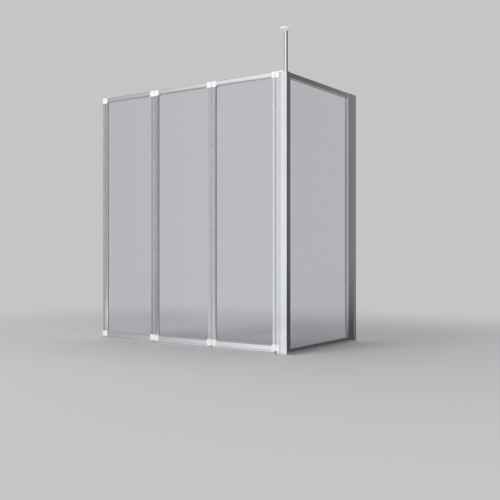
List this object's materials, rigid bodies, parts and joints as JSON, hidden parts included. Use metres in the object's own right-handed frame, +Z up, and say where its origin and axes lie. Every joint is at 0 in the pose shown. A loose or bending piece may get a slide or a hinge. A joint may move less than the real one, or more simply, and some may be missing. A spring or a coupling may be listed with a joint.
{
  "type": "folding bath screen",
  "caption": "Folding bath screen: framed glass leaves on zigzag hinges, hung from a corner post with a fixed glass side panel and a telescoping ceiling support.",
  "frame": {"origin": "middle of the corner post's foot, on the axis of the ceiling support", "axes": "+Z up, along the post; the leaves run from the post along -X with their outer faces towards -Y; the side panel runs from the post along +Y to the wall"},
  "size_m": [1.2855, 0.759, 1.6095],
  "materials": {
    "silver_aluminium": "satin anodised",
    "chrome_metal": "polished",
    "steel_fastener": "plain",
    "white_plastic": "gloss",
    "seal_rubber": "matt",
    "soft_seal": "matt",
    "clear_glass": "clear"
  },
  "bodies": {
    "frame": {"corner_post": "silver_aluminium", "post_top_cap": "white_plastic", "post_foot_plug": "white_plastic", "post_screws": "steel_fastener", "post_screw_covers": "white_plastic", "hinge_profile": "silver_aluminium", "hinge_block_top": "white_plastic", "hinge_block_bottom": "white_plastic", "hinge_pins_1": "steel_fastener", "side_near_stile": "silver_aluminium", "side_far_stile": "silver_aluminium", "side_top_rail": "silver_aluminium", "side_bottom_rail": "silver_aluminium", "side_glass": "clear_glass", "side_gasket": "seal_rubber", "side_frame_screws": "steel_fastener", "fixing_channel": "silver_aluminium", "fixing_channel_seal": "seal_rubber"},
    "ceiling_support": {"ceiling_tube": "chrome_metal", "ceiling_flange": "white_plastic"},
    "leaf_1": {"leaf_1_near_stile": "silver_aluminium", "leaf_1_far_stile": "silver_aluminium", "leaf_1_top_rail": "silver_aluminium", "leaf_1_bottom_rail": "silver_aluminium", "leaf_1_glass": "clear_glass", "leaf_1_glazing_gasket": "seal_rubber", "leaf_1_near_block_top": "white_plastic", "leaf_1_near_block_bottom": "white_plastic", "leaf_1_seal_carrier": "silver_aluminium", "leaf_1_bottom_seal": "soft_seal", "leaf_1_edge_seal": "seal_rubber", "leaf_1_far_block_top": "white_plastic", "leaf_1_far_block_bottom": "white_plastic", "hinge_pins_2": "steel_fastener"},
    "leaf_2": {"leaf_2_near_stile": "silver_aluminium", "leaf_2_far_stile": "silver_aluminium", "leaf_2_top_rail": "silver_aluminium", "leaf_2_bottom_rail": "silver_aluminium", "leaf_2_glass": "clear_glass", "leaf_2_glazing_gasket": "seal_rubber", "leaf_2_near_block_top": "white_plastic", "leaf_2_near_block_bottom": "white_plastic", "leaf_2_seal_carrier": "silver_aluminium", "leaf_2_bottom_seal": "soft_seal", "leaf_2_edge_seal": "seal_rubber", "leaf_2_far_block_top": "white_plastic", "leaf_2_far_block_bottom": "white_plastic", "hinge_pins_3": "steel_fastener"},
    "leaf_3": {"leaf_3_near_stile": "silver_aluminium", "leaf_3_far_stile": "silver_aluminium", "leaf_3_top_rail": "silver_aluminium", "leaf_3_bottom_rail": "silver_aluminium", "leaf_3_glass": "clear_glass", "leaf_3_glazing_gasket": "seal_rubber", "leaf_3_near_block_top": "white_plastic", "leaf_3_near_block_bottom": "white_plastic", "leaf_3_seal_carrier": "silver_aluminium", "leaf_3_bottom_seal": "soft_seal", "leaf_3_edge_seal": "seal_rubber", "leaf_3_end_blocks": "white_plastic"}
  },
  "joints": [
    {"name": "hinge_1", "type": "hinge", "parent": "frame", "child": "leaf_1", "pos_m": [-0.0545, 0.0105, 0.7085], "axis": [0, 0, 1], "range_deg": [-90, 0]},
    {"name": "hinge_2", "type": "hinge", "parent": "leaf_1", "child": "leaf_2", "pos_m": [-0.4545, -0.0145, 0.7085], "axis": [0, 0, 1], "range_deg": [0, 180]},
    {"name": "hinge_3", "type": "hinge", "parent": "leaf_2", "child": "leaf_3", "pos_m": [-0.8545, 0.0105, 0.7085], "axis": [0, 0, 1], "range_deg": [-180, 0]},
    {"name": "support_slide", "type": "slide", "parent": "frame", "child": "ceiling_support", "axis": [0, 0, 1], "range_m": [-0.185, 0.22]}
  ]
}
